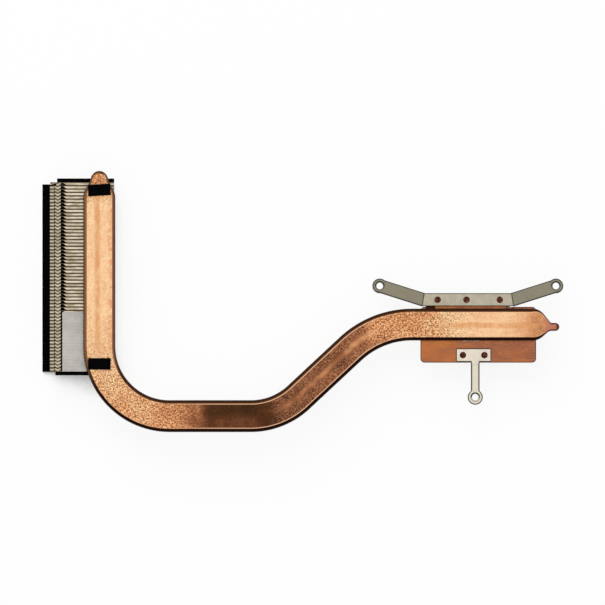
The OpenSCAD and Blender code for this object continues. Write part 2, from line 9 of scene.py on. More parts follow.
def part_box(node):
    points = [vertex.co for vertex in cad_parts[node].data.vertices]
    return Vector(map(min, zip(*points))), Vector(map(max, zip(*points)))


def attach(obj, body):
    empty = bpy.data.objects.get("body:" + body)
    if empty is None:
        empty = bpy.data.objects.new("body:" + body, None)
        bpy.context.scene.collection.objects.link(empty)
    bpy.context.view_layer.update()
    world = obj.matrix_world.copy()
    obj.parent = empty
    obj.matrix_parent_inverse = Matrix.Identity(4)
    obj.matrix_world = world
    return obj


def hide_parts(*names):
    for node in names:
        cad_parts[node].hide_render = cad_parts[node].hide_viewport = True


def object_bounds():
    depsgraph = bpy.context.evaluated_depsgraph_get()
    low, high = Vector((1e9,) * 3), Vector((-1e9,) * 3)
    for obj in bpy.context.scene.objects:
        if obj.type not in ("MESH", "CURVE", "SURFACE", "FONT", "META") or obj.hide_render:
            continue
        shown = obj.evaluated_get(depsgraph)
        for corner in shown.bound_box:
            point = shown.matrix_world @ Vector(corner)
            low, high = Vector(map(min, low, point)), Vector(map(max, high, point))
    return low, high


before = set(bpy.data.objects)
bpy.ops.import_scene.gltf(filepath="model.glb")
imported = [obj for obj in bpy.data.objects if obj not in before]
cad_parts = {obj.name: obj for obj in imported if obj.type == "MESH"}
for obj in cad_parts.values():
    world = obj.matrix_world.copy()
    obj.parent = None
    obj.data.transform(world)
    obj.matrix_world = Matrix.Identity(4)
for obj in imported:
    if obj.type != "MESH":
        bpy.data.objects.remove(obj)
CAD_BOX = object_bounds()
MM = 0.001

# Route of the pipe's centreline, from the domed end over the fins to the fill stub
PIPE_W = 11 * MM
FLAT_W = 8.2 * MM
LOW_BEND_R = 24.1 * MM
PLATE_BEND_R = 31 * MM
SLANT = math.radians(43)
LOW_RUN_DROP = 31.5 * MM
SLANT_CORNER_X = -35 * MM
STUB_TAPER_L = 6.2 * MM
STUB_R = 1.4 * MM
STUB_SHIFT = 0.8 * MM
SHOULDER_POWER = 1.6
SHIFT_POWER = 4
DOME_TAPER_L = 8.9 * MM
DOME_NECK_R = 3.1 * MM

# Fin stack: pitch, and the arrow tabs seen from a fin's edge, with their shoulder and tip as shares of the pitch
FIN_PITCH = 1.16 * MM
TAB_X = 2.65 * MM
TAB_HALF_W = 1 * MM
TAB_SHOULDER, TAB_TIP = 0.741, 1.26

# Mesh fineness of the pipe: points round each side, across each flat, and step along the run
SIDE_POINTS = 10
FLAT_CUTS = 23
RUN_STEP = 0.9 * MM
TIP_SCALE = 0.06

# Long bracket: middle of its strip, distance from there to the folds, and their slant
STRIP = (-3.6 * MM, 12.05 * MM)
FOLD_X = 15.35 * MM
FOLD_SLANT = math.radians(8.8)

# Screw eyes in millimetres: outer and hole radius, then each one's middle and the way to its neck
EYE_R, EYE_HOLE_R = 2.6, 1.2
ARM_ANGLE = math.radians(17.6)
EARS = [((-33.9, 16.8), (0.953, -0.302)), ((26.7, 16.8), (-0.953, -0.302))]
TEE_EYE = [((-1.05, -21.5), (0, 1))]

# Copper left standing in the short relief, beside the long bracket's tab
RELIEF_FLOOR = ((9.4 * MM, 8.7 * MM, 0.02 * MM), (12.2 * MM, 9.55 * MM, 0.4 * MM))

# Picture frame at the height of the pipe's top
PICTURE_CENTRE = (-60.5 * MM, 11.1 * MM)
PICTURE_W = 208.1 * MM
LENS = 1200
SENSOR = 36


def add(tree, kind, inputs=None, **settings):
    """A node with its settings; inputs holds values, or sockets to link."""
    node = tree.nodes.new(kind)
    for key, value in settings.items():
        setattr(node, key, value)
    for key, value in (inputs or {}).items():
        if isinstance(value, bpy.types.NodeSocket):
            tree.links.new(value, node.inputs[key])
        else:
            node.inputs[key].default_value = value
    return node


def calc(tree, operation, *values, clamp=False):
    inputs = dict(enumerate(values))
    return add(tree, "ShaderNodeMath", inputs, operation=operation, use_clamp=clamp).outputs[0]


def blend_colour(tree, share, first, second, mode="MIX"):
    node = add(tree, "ShaderNodeMix", {0: share, 6: first, 7: second}, data_type="RGBA", blend_type=mode)
    return node.outputs[2]


def remap(tree, value, low, high, to_low=0.0, to_high=1.0):
    inputs = {"Value": value, "From Min": low, "From Max": high, "To Min": to_low, "To Max": to_high}
    return add(tree, "ShaderNodeMapRange", inputs, interpolation_type="SMOOTHSTEP").outputs[0]


def band(tree, value, centre, half, soft):
    """1 where value is within half of centre, fading to 0 over soft."""
    off = calc(tree, "ABSOLUTE", calc(tree, "SUBTRACT", value, centre))
    return remap(tree, off, half, half + soft, 1.0, 0.0)


def ramp(tree, value, stops):
    """Number ramp over stops of (place, level)."""
    node = add(tree, "ShaderNodeValToRGB", {0: value})
    points = node.color_ramp.elements
    while len(points) < len(stops):
        points.new(0.5)
    for point, (place, level) in zip(points, stops):
        point.position = place
        point.color = (level, level, level, 1)
    return node.outputs[0]


def place_of(tree, scale=(1, 1, 1)):
    """Object coordinates in millimetres, stretched by scale."""
    coords = add(tree, "ShaderNodeTexCoord").outputs["Object"]
    in_mm = tuple(s / MM for s in scale)
    return add(tree, "ShaderNodeMapping", {"Vector": coords, "Scale": in_mm}).outputs[0]


def noise_at(tree, vector, scale, detail=3.0, roughness=0.55):
    inputs = {"Vector": vector, "Scale": scale, "Detail": detail, "Roughness": roughness}
    return add(tree, "ShaderNodeTexNoise", inputs).outputs["Fac"]


def rgb(*parts):
    return (*parts, 1.0)


def finish_of(name, metallic, roughness, colour, height=None, depth=0.0, specular=0.5):
    """Makes a material. colour, roughness and height are functions of the tree, or plain values."""
    made = bpy.data.materials.new(name)
    made.use_nodes = True
    tree = made.node_tree
    shader = tree.nodes["Principled BSDF"]
    shader.inputs["Metallic"].default_value = metallic
    shader.inputs["Specular IOR Level"].default_value = specular
    for socket, value in (("Base Color", colour), ("Roughness", roughness)):
        if callable(value):
            tree.links.new(value(tree), shader.inputs[socket])
        else:
            shader.inputs[socket].default_value = value
    if height:
        bump = add(tree, "ShaderNodeBump", {"Height": height(tree), "Distance": depth, "Strength": 1.0})
        tree.links.new(bump.outputs[0], shader.inputs["Normal"])
    return made


# Shares of the pipe's run at which its finish changes
RUN_TOTAL = 242.8 * MM


def run_share(tree):
    along = add(tree, "ShaderNodeAttribute", attribute_name="along").outputs["Fac"]
    return calc(tree, "DIVIDE", along, RUN_TOTAL)


def run_across(tree):
    return add(tree, "ShaderNodeAttribute", attribute_name="across").outputs["Fac"]


def peel_share(tree):
    """How strong the orange peel is: both bends, and faint on the straight runs."""
    return ramp(tree, run_share(tree), [
        (0.0, 1.0), (0.03, 0.9), (0.05, 0.2), (0.18, 0.12), (0.25, 0.4), (0.29, 0.85), (0.41, 1.0), (0.45, 0.45),
        (0.465, 0.2), (0.53, 0.3), (0.57, 0.8), (0.69, 0.9), (0.73, 1.0), (0.82, 1.0), (0.86, 0.5), (0.89, 0.08),
        (0.96, 0.2), (1.0, 0.6)])


def peel_grain(tree):
    return noise_at(tree, place_of(tree), 1.75, 4.0, 0.75)


def peel_height(tree):
    return calc(tree, "MULTIPLY", peel_grain(tree), peel_share(tree))


def colour_ramp(tree, value, stops):
    """Colour ramp over stops of (place, colour)."""
    node = add(tree, "ShaderNodeValToRGB", {0: value})
    points = node.color_ramp.elements
    while len(points) < len(stops):
        points.new(0.5)
    for point, (place, colour) in zip(points, stops):
        point.position = place
        point.color = rgb(*colour)
    return node.outputs[0]


def flat_darkening(tree, share, across):
    """How dark the flats are at each share of the run, from fresh copper at 0 to nearly black at 1."""
    at = place_of(tree)
    level = ramp(tree, share, [
        (0.0, 0.3), (0.03, 0.22), (0.045, 0.02), (0.2, 0.03), (0.27, 0.1), (0.36, 0.2), (0.42, 0.3), (0.448, 0.55),
        (0.462, 0.94), (0.53, 0.92), (0.565, 0.72), (0.62, 0.62), (0.68, 0.6), (0.73, 0.4), (0.755, 0.27),
        (0.81, 0.2), (0.86, 0.04), (0.93, 0.06), (0.958, 0.22), (0.975, 0.36), (1.0, 0.5)])
    blotches = remap(tree, noise_at(tree, at, 0.18, 4.0), 0.3, 0.7, -0.5, 0.5)
    uneven = calc(tree, "MULTIPLY", blotches, ramp(tree, level, [(0.0, 0.06), (0.5, 0.26), (1.0, 0.1)]))
    low_side = calc(tree, "MULTIPLY", remap(tree, across, 0.25, -0.35, 0.0, 0.2), band(tree, share, 0.49, 0.03, 0.02))
    # Lighter down the middle of the slant: a painted highlight.
    glow = calc(tree, "MULTIPLY", band(tree, across, 0.05, 0.04, 0.24), band(tree, share, 0.645, 0.06, 0.05))
    less = calc(tree, "ADD", low_side, calc(tree, "MULTIPLY", glow, 0.2))
    return calc(tree, "SUBTRACT", calc(tree, "ADD", level, uneven), less, clamp=True)


def tinted(tree, colour, *parts):
    """A colour made darker or lighter by parts, and never above white."""
    inputs = {0: 1.0, 6: colour, 7: rgb(*parts)}
    return add(tree, "ShaderNodeMix", inputs, data_type="RGBA", blend_type="MULTIPLY", clamp_result=True).outputs[2]


def drawn_lines(tree, across):
    """Fine lines along the run, left where the tube was drawn."""
    along = add(tree, "ShaderNodeAttribute", attribute_name="along").outputs["Fac"]
    lie = add(tree, "ShaderNodeCombineXYZ", {0: calc(tree, "MULTIPLY", across, 5.5),
                                             1: calc(tree, "MULTIPLY", along, 0.07 / MM)}).outputs[0]
    return noise_at(tree, lie, 1.7, 5.0, 0.65)


def pipe_colour(tree):
    share, across = run_share(tree), run_across(tree)
    off = calc(tree, "ABSOLUTE", across)
    flat = colour_ramp(tree, flat_darkening(tree, share, across), [
        (0.0, (0.95, 0.64, 0.38)), (0.25, (0.70, 0.35, 0.17)), (0.5, (0.30, 0.12, 0.055)),
        (0.75, (0.12, 0.044, 0.019)), (1.0, (0.050, 0.024, 0.010))])
    mottle = remap(tree, noise_at(tree, place_of(tree), 0.8, 5.0, 0.75), 0.38, 0.66, 0.0, 0.55)
    flat = blend_colour(tree, mottle, flat, tinted(tree, flat, 0.86, 0.72, 0.6))
    drawn = remap(tree, drawn_lines(tree, across), 0.42, 0.7, 0.0, 0.5)
    flat = blend_colour(tree, drawn, flat, tinted(tree, flat, 0.92, 0.74, 0.6))
    smooth_middle = calc(tree, "MULTIPLY", band(tree, across, 0.05, 0.1, 0.2), band(tree, share, 0.645, 0.06, 0.05))
    grain = peel_grain(tree)
    peel = calc(tree, "MULTIPLY", peel_share(tree), calc(tree, "SUBTRACT", 1.0, smooth_middle))
    # The peel is painted darker in its pits and lighter on its crowns; the lighter crowns are painted highlights.
    dips = calc(tree, "MULTIPLY", remap(tree, grain, 0.47, 0.57, 0.0, 1.0), peel)
    flat = blend_colour(tree, dips, flat, tinted(tree, flat, 0.38, 0.24, 0.17))
    peel_highlights = calc(tree, "MULTIPLY", remap(tree, grain, 0.5, 0.41, 0.0, 1.0), peel)
    flat = blend_colour(tree, peel_highlights, flat, tinted(tree, flat, 1.45, 1.55, 1.5))
    specks = remap(tree, noise_at(tree, place_of(tree), 2.3, 2.0), 0.5, 0.62, 0.0, 0.7)
    speckled = calc(tree, "MULTIPLY", band(tree, share, 0.64, 0.07, 0.03), calc(tree, "SUBTRACT", 1.0, smooth_middle))
    flat = blend_colour(tree, calc(tree, "MULTIPLY", specks, speckled), flat, rgb(0.45, 0.21, 0.12))
    rust = remap(tree, noise_at(tree, place_of(tree), 0.55, 5.0, 0.7), 0.44, 0.62, 0.0, 0.7)
    rust = calc(tree, "MULTIPLY", rust, calc(tree, "MULTIPLY", band(tree, across, 0.72, 0.05, 0.22),
                                             band(tree, share, 0.14, 0.1, 0.03)))
    flat = blend_colour(tree, rust, flat, rgb(0.66, 0.24, 0.10))
    flat = blend_colour(tree, remap(tree, share, 0.974, 0.982, 0.0, 0.7), flat, rgb(0.50, 0.18, 0.12))
    # A darker streak down the middle of the flats on the vertical run and the plate run: painted shade of their sunk
    # middles, broken up by noise.
    streak_breakup = remap(tree, noise_at(tree, place_of(tree, (1, 0.35, 1)), 0.9, 4.0), 0.3, 0.7, 0.35, 1.0)
    streak = calc(tree, "ADD",
                  calc(tree, "MULTIPLY", band(tree, across, -0.12, 0.06, 0.2), band(tree, share, 0.14, 0.09, 0.04)),
                  calc(tree, "MULTIPLY", band(tree, across, -0.05, 0.08, 0.17), band(tree, share, 0.91, 0.045, 0.04)))
    flat = blend_colour(tree, calc(tree, "MULTIPLY", streak, streak_breakup), flat, rgb(0.68, 0.32, 0.13))
    # A light line along each edge of the flat, where it turns into the rounded sides: a painted highlight.
    edge_highlight_share = ramp(tree, share, [(0.0, 0.2), (0.25, 0.2), (0.42, 0.35), (0.46, 0.85), (0.72, 0.9), (0.78, 0.3), (1.0, 0.2)])
    edge_highlight = calc(tree, "MULTIPLY", band(tree, off, 0.755, 0.012, 0.03), edge_highlight_share)
    coloured = blend_colour(tree, edge_highlight, flat, rgb(0.80, 0.48, 0.29))
    # The rounded sides are painted dark brown to near-black as painted shade: over the fins a lighter line on the left
    # and a lighter inner band on the right, and darker and wider towards the dome's neck and the stub.
    painted_side_shade = blend_colour(tree, remap(tree, off, 0.8, 0.92), rgb(0.10, 0.036, 0.013), rgb(0.036, 0.012, 0.005))
    on_fins = band(tree, share, 0.1, 0.16, 0.05)
    left_side_shade = blend_colour(tree, band(tree, across, -0.88, 0.03, 0.05), rgb(0.11, 0.045, 0.018), rgb(0.26, 0.12, 0.055))
    painted_side_shade = blend_colour(tree, calc(tree, "MULTIPLY", on_fins, remap(tree, across, 0.0, -0.5)), painted_side_shade, left_side_shade)
    right_side_shade = blend_colour(tree, remap(tree, across, 0.84, 0.92), rgb(0.30, 0.13, 0.062), rgb(0.09, 0.036, 0.017))
    painted_side_shade = blend_colour(tree, calc(tree, "MULTIPLY", on_fins, remap(tree, across, 0.0, 0.5)), painted_side_shade, right_side_shade)
    end_shade = calc(tree, "ADD", remap(tree, share, 0.034, 0.022, 0.0, 0.4), remap(tree, share, 0.957, 0.976, 0.0, 0.6))
    painted_side_shade = blend_colour(tree, end_shade, painted_side_shade, rgb(0.03, 0.009, 0.004))
    from_edge = add(tree, "ShaderNodeAttribute", attribute_name="from_edge").outputs["Fac"]
    inwards = calc(tree, "ADD", calc(tree, "DIVIDE", from_edge, MM), end_shade)
    coloured = blend_colour(tree, remap(tree, inwards, 1.24, 1.04), coloured, painted_side_shade)
    # Near-black along the lower side from the first bend on: a painted shadow line.
    underside_shadow = calc(tree, "MULTIPLY", remap(tree, across, -0.76, -0.83), remap(tree, share, 0.24, 0.32))
    # Darker at the dome's tip and the stub's end: painted shade.
    tip_shade = calc(tree, "ADD", remap(tree, share, 0.006, 0.003), remap(tree, share, 0.994, 0.997))
    coloured = blend_colour(tree, calc(tree, "MULTIPLY", tip_shade, 0.85), coloured, rgb(0.04, 0.014, 0.006))
    return blend_colour(tree, underside_shadow, coloured, rgb(0.012, 0.003, 0.0015))


def pipe_roughness(tree):
    spots = noise_at(tree, place_of(tree), 0.5, 4.0)
    return remap(tree, spots, 0.3, 0.7, 0.30, 0.46)


def brushed_colour(tree):
    """Brushed copper with its grain along X, tarnished in broad patches."""
    grain = noise_at(tree, place_of(tree, (0.05, 1, 1)), 5.0, 4.0)
    patches = noise_at(tree, place_of(tree, (0.4, 1, 1)), 0.16, 4.0)
    tone = blend_colour(tree, remap(tree, patches, 0.36, 0.62), rgb(0.46, 0.14, 0.032), rgb(0.27, 0.09, 0.05))
    spots = remap(tree, noise_at(tree, place_of(tree, (0.7, 1, 1)), 0.5, 4.0), 0.54, 0.66, 0.0, 0.5)
    tone = blend_colour(tree, spots, tone, rgb(0.60, 0.21, 0.04))
    return blend_colour(tree, remap(tree, grain, 0.36, 0.68, 0.0, 0.7), tone, rgb(0.44, 0.18, 0.09))


def brushed_height(tree):
    return noise_at(tree, place_of(tree, (0.04, 1, 1)), 9.0, 3.0)


def steel_colour(light, dark):
    def colour(tree):
        at = place_of(tree)
        clouds = remap(tree, noise_at(tree, at, 0.35, 5.0), 0.35, 0.68)
        tone = blend_colour(tree, clouds, rgb(*light), rgb(*dark))
        specks = remap(tree, noise_at(tree, at, 3.5, 2.0), 0.62, 0.72, 0.0, 0.35)
        return blend_colour(tree, specks, tone, rgb(0.30, 0.29, 0.25))
    return colour


def eye_shade(tree, x, y, eye, neck):
    """Shade round a screw eye: its pressed outer rim, open towards the neck, and the lip of its hole."""
    dx, dy = calc(tree, "SUBTRACT", x, eye[0]), calc(tree, "SUBTRACT", y, eye[1])
    away = calc(tree, "SQRT", calc(tree, "ADD", calc(tree, "MULTIPLY", dx, dx), calc(tree, "MULTIPLY", dy, dy)))
    to_neck = calc(tree, "ADD", calc(tree, "MULTIPLY", dx, neck[0]), calc(tree, "MULTIPLY", dy, neck[1]))
    outer = calc(tree, "MULTIPLY", band(tree, away, EYE_R, 0.25, 0.3), remap(tree, to_neck, 1.3, 1.9, 1.0, 0.0))
    lip = calc(tree, "MULTIPLY", band(tree, away, EYE_HOLE_R, 0.4, 0.2), remap(tree, dy, -0.9, 0.6, 0.4, 1.2))
    return calc(tree, "MAXIMUM", outer, lip)


def arm_edge_shade(tree, x, y):
    """Shade along the lower edge of both arms."""
    out = calc(tree, "SUBTRACT", calc(tree, "ABSOLUTE", calc(tree, "SUBTRACT", x, STRIP[0] / MM)), FOLD_X / MM)
    up = calc(tree, "SUBTRACT", y, STRIP[1] / MM)
    across = calc(tree, "SUBTRACT", calc(tree, "MULTIPLY", up, math.cos(ARM_ANGLE)),
                  calc(tree, "MULTIPLY", out, math.sin(ARM_ANGLE)))
    return calc(tree, "MULTIPLY", band(tree, across, -2.35, 0.25, 0.4), remap(tree, out, 0.2, 0.8))


def stem_edge_shade(tree, x, y):
    """Shade along both edges of the tee's stem."""
    off = calc(tree, "ABSOLUTE", calc(tree, "SUBTRACT", x, TEE_EYE[0][0][0]))
    return calc(tree, "MULTIPLY", band(tree, off, 1.5, 0.3, 0.35), band(tree, y, -14.5, 4.6, 0.5))


def rimmed(colour, dark, reach, edge_shade, eyes):
    """A finish's colour, darkened along its piece's edges and round its screw eyes: painted shade."""
    def made(tree):
        x, y, _ = add(tree, "ShaderNodeSeparateXYZ", {0: place_of(tree)}).outputs
        shade = edge_shade(tree, x, y)
        for eye, neck in eyes:
            shade = calc(tree, "MAXIMUM", shade, eye_shade(tree, x, y, eye, neck))
        return blend_colour(tree, calc(tree, "MULTIPLY", shade, reach), colour(tree), rgb(*dark))
    return made


def arm_steel_colour(tree):
    """Spring steel, painted darker and more olive on the two sloping arms as their shade, with a dark painted crease
    where each leaves the strip.
    """
    tone = steel_colour((0.50, 0.455, 0.35), (0.43, 0.38, 0.29))(tree)
    x, y, _ = add(tree, "ShaderNodeSeparateXYZ", {0: place_of(tree)}).outputs
    off = calc(tree, "SUBTRACT", calc(tree, "ABSOLUTE", calc(tree, "SUBTRACT", x, STRIP[0] / MM)), FOLD_X / MM)
    rise = calc(tree, "MULTIPLY", calc(tree, "SUBTRACT", y, STRIP[1] / MM), math.tan(FOLD_SLANT))
    past = calc(tree, "ADD", off, rise)
    tone = blend_colour(tree, remap(tree, past, -0.1, 0.3, 0.0, 0.8), tone, rgb(0.21, 0.19, 0.135))
    return blend_colour(tree, band(tree, past, 0.05, 0.1, 0.2), tone, rgb(0.09, 0.085, 0.06))


def steel_height(tree):
    return noise_at(tree, place_of(tree), 4.0, 4.0)


def fin_colour(tree):
    """Bare sheet, with painted shade along the gap where each fin's folds and arrow tabs meet the next."""
    at = place_of(tree)
    x, y, z = add(tree, "ShaderNodeSeparateXYZ", {0: at}).outputs
    low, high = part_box("fins")
    inwards = calc(tree, "MINIMUM", calc(tree, "SUBTRACT", x, low.x / MM), calc(tree, "SUBTRACT", high.x / MM, x))
    from_tip = calc(tree, "DIVIDE", calc(tree, "ABSOLUTE", calc(tree, "SUBTRACT", inwards, TAB_X / MM)), TAB_HALF_W / MM)
    arrow = calc(tree, "SUBTRACT", TAB_TIP, calc(tree, "MULTIPLY", from_tip, TAB_TIP - TAB_SHOULDER))
    shift = calc(tree, "MULTIPLY", arrow, calc(tree, "LESS_THAN", from_tip, 1.0))
    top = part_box("upper_end_fin")[1].y / MM
    turns = calc(tree, "DIVIDE", calc(tree, "SUBTRACT", top, y), FIN_PITCH / MM)
    turn = calc(tree, "FRACT", calc(tree, "SUBTRACT", turns, shift))
    # The gaps between the fins are painted near-black: painted shade.
    gap_shade = ramp(tree, turn, [(0.0, 1.0), (0.16, 0.95), (0.32, 0.2), (0.42, 0.0), (0.7, 0.0), (0.84, 0.8), (1.0, 1.0)])
    worn = noise_at(tree, place_of(tree, (0.25, 1, 1)), 0.9, 4.0)
    clean = blend_colour(tree, remap(tree, worn, 0.36, 0.66), rgb(0.78, 0.68, 0.53), rgb(0.40, 0.32, 0.215))
    at_end = remap(tree, inwards, TAB_X / MM + 1.2, TAB_X / MM + 0.9)
    clean = blend_colour(tree, calc(tree, "MULTIPLY", at_end, 0.3), clean, rgb(0.50, 0.50, 0.40))
    wide_gap_shade = ramp(tree, turn, [(0.0, 1.0), (0.24, 0.95), (0.4, 0.5), (0.5, 0.0), (0.68, 0.0), (0.78, 0.8), (1.0, 1.0)])
    gap_shade = calc(tree, "MAXIMUM", gap_shade, calc(tree, "MULTIPLY", wide_gap_shade, at_end))
    # Faces more than half a millimetre below the fins' top are painted lighter: painted light in the gaps.
    painted_gap_light = remap(tree, z, high.z / MM - 0.5, high.z / MM - 0.8)
    coloured = blend_colour(tree, calc(tree, "MULTIPLY", gap_shade, 0.94), clean, rgb(0.13, 0.10, 0.05))
    return blend_colour(tree, painted_gap_light, coloured, rgb(0.62, 0.52, 0.38))


def foam_colour(tree):
    pores = noise_at(tree, place_of(tree), 4.0, 4.0)
    return blend_colour(tree, remap(tree, pores, 0.35, 0.7), rgb(0.001, 0.001, 0.0014), rgb(0.004, 0.0038, 0.0045))


def foam_height(tree):
    return noise_at(tree, place_of(tree), 5.0, 4.0, 0.7)


def label_colour(tree):
    at = place_of(tree)
    shade = remap(tree, noise_at(tree, at, 0.25, 4.0), 0.35, 0.68)
    return blend_colour(tree, shade, rgb(0.53, 0.51, 0.475), rgb(0.43, 0.415, 0.385))


def rivet_colour(tree):
    # Copper painted near-black as the shade of the sunk rivet heads, with lighter spots as painted glints.
    worn = noise_at(tree, place_of(tree), 2.2, 4.0)
    return blend_colour(tree, remap(tree, worn, 0.5, 0.62), rgb(0.04, 0.010, 0.006), rgb(0.28, 0.11, 0.07))


def solder_colour(tree):
    dull = noise_at(tree, place_of(tree), 1.1, 4.0)
    return blend_colour(tree, remap(tree, dull, 0.3, 0.7), rgb(0.55, 0.50, 0.44), rgb(0.30, 0.24, 0.18))


def wick_colour(tree):
    grit = noise_at(tree, place_of(tree), 6.0, 2.0)
    return blend_colour(tree, grit, rgb(0.45, 0.20, 0.12), rgb(0.66, 0.36, 0.24))


def all_finishes():
    return {
        "pipe": finish_of("pipe_copper", 1.0, pipe_roughness, pipe_colour, peel_height, 0.06 * MM),
        "plate": finish_of("brushed_copper", 1.0, 0.38, brushed_colour, brushed_height, 0.01 * MM),
        # Near-black copper for the plate's sides, rolled rims and sunk relief floor: painted shade.
        "plate_rim_shade": finish_of("copper_rims_in_painted_shade", 1.0, 0.5, rgb(0.09, 0.032, 0.018)),
        "bracket": finish_of("spring_steel", 1.0, 0.48, rimmed(arm_steel_colour, (0.045, 0.045, 0.035), 0.85,
                                                               arm_edge_shade, EARS), steel_height, 0.008 * MM),
        "tee": finish_of("bright_steel", 1.0, 0.42,
                         rimmed(steel_colour((0.76, 0.68, 0.58), (0.68, 0.61, 0.51)), (0.06, 0.06, 0.045), 0.85,
                                stem_edge_shade, TEE_EYE),
                         steel_height, 0.008 * MM),
        # Near-black steel for the brackets' sides and rolled rims: painted shade.
        "steel_rim_shade": finish_of("steel_rims_in_painted_shade", 1.0, 0.55, rgb(0.045, 0.045, 0.036)),
        "fin": finish_of("fin_sheet", 1.0, 0.36, fin_colour, steel_height, 0.004 * MM),
        "foam": finish_of("black_foam", 0.0, 1.0, foam_colour, foam_height, 0.03 * MM, specular=0.0),
        "label": finish_of("label_film", 0.0, 0.5, label_colour, foam_height, 0.004 * MM),
        "rivet": finish_of("staked_copper", 1.0, 0.4, rivet_colour, steel_height, 0.03 * MM),
        "solder": finish_of("dull_solder", 1.0, 0.5, solder_colour, steel_height, 0.02 * MM),
        "wick": finish_of("sintered_copper", 1.0, 0.8, wick_colour, foam_height, 0.05 * MM),
    }


def give(piece, *finishes):
    if piece.data.materials:
        piece.data.materials.clear()
    for one in finishes:
        piece.data.materials.append(one)


def new_piece(name, bm, slot, *replaced):
    """A finished piece from a bmesh, standing for the CAD nodes named."""
    mesh = bpy.data.meshes.new(name)
    bm.to_mesh(mesh)
    bm.free()
    mesh.shade_smooth()
    piece = bpy.data.objects.new(name, mesh)
    bpy.context.scene.collection.objects.link(piece)
    if replaced:
        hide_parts(*replaced)
    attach(piece, "root")
    return piece


def weighted(piece):
    piece.modifiers.new("face_weights", "WEIGHTED_NORMAL").keep_sharp = True
    return piece


def merged_copy(node):
    """A copy of a CAD node's mesh with its triangles joined and its flats made whole."""
    bm = bmesh.new()
    bm.from_mesh(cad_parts[node].data)
    bmesh.ops.remove_doubles(bm, verts=bm.verts, dist=0.5e-6)
    bmesh.ops.dissolve_limit(bm, angle_limit=math.radians(0.6), verts=bm.verts, edges=bm.edges)
    return bm


def sharp_edges(bm, least=math.radians(35)):
    return [e for e in bm.edges if len(e.link_faces) == 2 and e.calc_face_angle() > least]


def edged(node, name, slot, roll, faces, rim_shade, sunk=(0, 0), filled=None):
    """A CAD node's form with its rims rolled over. Its second, near-black finish goes on its sides, rolled rims and
    sunk faces: painted shade.
    """
    bm = merged_copy(node)
    bm.normal_update()
    # Sides and sunk faces take the second finish, painted shade; the rolled rims take it below.
    for face in bm.faces:
        down_in = sunk[0] < face.calc_center_median().z < sunk[1]
        face.material_index = 1 if abs(face.normal.z) < 0.2 or down_in else 0
    rims = [e for e in sharp_edges(bm, math.radians(75))
            if sorted(f.material_index for f in e.link_faces) == [0, 1]]
    rolled = bmesh.ops.bevel(bm, geom=rims, offset=roll, segments=4, profile=0.5, affect="EDGES", material=-1)
    for face in rolled["faces"]:
        face.material_index = 1
    if filled:
        low, high = (Vector(corner) for corner in filled)
        cube = bmesh.ops.create_cube(bm, size=1.0)["verts"]
        bmesh.ops.scale(bm, verts=cube, vec=high - low)
        bmesh.ops.translate(bm, verts=cube, vec=(low + high) / 2)
    piece = weighted(new_piece(name, bm, slot, node))
    give(piece, faces, rim_shade)
    return piece


def ease(t):
    t = min(max(t, 0.0), 1.0)
    return 0.5 - 0.5 * math.cos(math.pi * t)


def rounded_off(half, reach, s):
    return half if s < reach - half else math.sqrt(max(half ** 2 - (s - reach + half) ** 2, 0.0))


